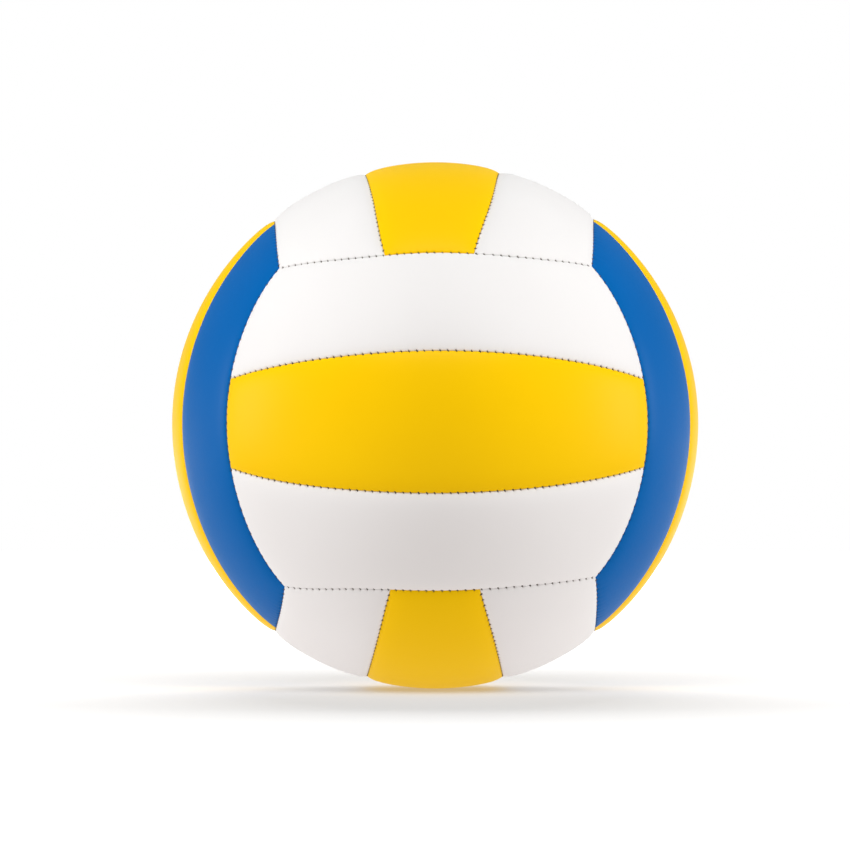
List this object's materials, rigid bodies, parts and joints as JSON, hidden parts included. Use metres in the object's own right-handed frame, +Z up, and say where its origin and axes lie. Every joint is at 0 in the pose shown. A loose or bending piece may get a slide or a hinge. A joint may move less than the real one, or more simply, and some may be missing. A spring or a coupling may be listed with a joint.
{
  "type": "volleyball",
  "caption": "Indoor volleyball with a sewn panel cover in white, yellow and blue, over foam, lining and a rubber bladder with a needle valve.",
  "frame": {"origin": "centre of the ball", "axes": "+Z up, -Y out of the front face, +Y along the valve, out of the back face"},
  "size_m": [0.21, 0.2099, 0.21],
  "materials": {
    "white_leather": "soft satin PVC leather",
    "yellow_leather": "soft satin PVC leather",
    "blue_leather": "soft satin PVC leather",
    "sewing_thread": "grey twisted polyester thread",
    "sponge_foam": "matt closed-cell sponge",
    "lining_cloth": "plain woven cloth",
    "bladder_rubber": "matt moulded rubber",
    "valve_rubber": "satin moulded rubber",
    "core_rubber": "soft matt rubber"
  },
  "bodies": {
    "root": {"front_lower_panel": "white_leather", "front_middle_panel": "yellow_leather", "front_upper_panel": "white_leather", "back_upper_panel": "white_leather", "back_middle_panel": "yellow_leather", "back_lower_panel": "white_leather", "top_right_panel": "white_leather", "top_middle_panel": "yellow_leather", "top_left_panel": "white_leather", "bottom_left_panel": "white_leather", "bottom_middle_panel": "yellow_leather", "bottom_right_panel": "white_leather", "left_front_panel": "blue_leather", "left_middle_panel": "yellow_leather", "left_back_panel": "blue_leather", "right_front_panel": "blue_leather", "right_middle_panel": "yellow_leather", "right_back_panel": "blue_leather", "front_lower_foam": "sponge_foam", "front_middle_foam": "sponge_foam", "front_upper_foam": "sponge_foam", "back_upper_foam": "sponge_foam", "back_middle_foam": "sponge_foam", "back_lower_foam": "sponge_foam", "top_right_foam": "sponge_foam", "top_middle_foam": "sponge_foam", "top_left_foam": "sponge_foam", "bottom_left_foam": "sponge_foam", "bottom_middle_foam": "sponge_foam", "bottom_right_foam": "sponge_foam", "left_front_foam": "sponge_foam", "left_middle_foam": "sponge_foam", "left_back_foam": "sponge_foam", "right_front_foam": "sponge_foam", "right_middle_foam": "sponge_foam", "right_back_foam": "sponge_foam", "front_lower_lining": "lining_cloth", "front_middle_lining": "lining_cloth", "front_upper_lining": "lining_cloth", "back_upper_lining": "lining_cloth", "back_middle_lining": "lining_cloth", "back_lower_lining": "lining_cloth", "top_right_lining": "lining_cloth", "top_middle_lining": "lining_cloth", "top_left_lining": "lining_cloth", "bottom_left_lining": "lining_cloth", "bottom_middle_lining": "lining_cloth", "bottom_right_lining": "lining_cloth", "left_front_lining": "lining_cloth", "left_middle_lining": "lining_cloth", "left_back_lining": "lining_cloth", "right_front_lining": "lining_cloth", "right_middle_lining": "lining_cloth", "right_back_lining": "lining_cloth", "strip_seam_threads": "sewing_thread", "face_seam_threads": "sewing_thread", "bladder": "bladder_rubber", "valve_body": "valve_rubber", "valve_core": "core_rubber", "valve_patch": "lining_cloth"}
  },
  "joints": []
}
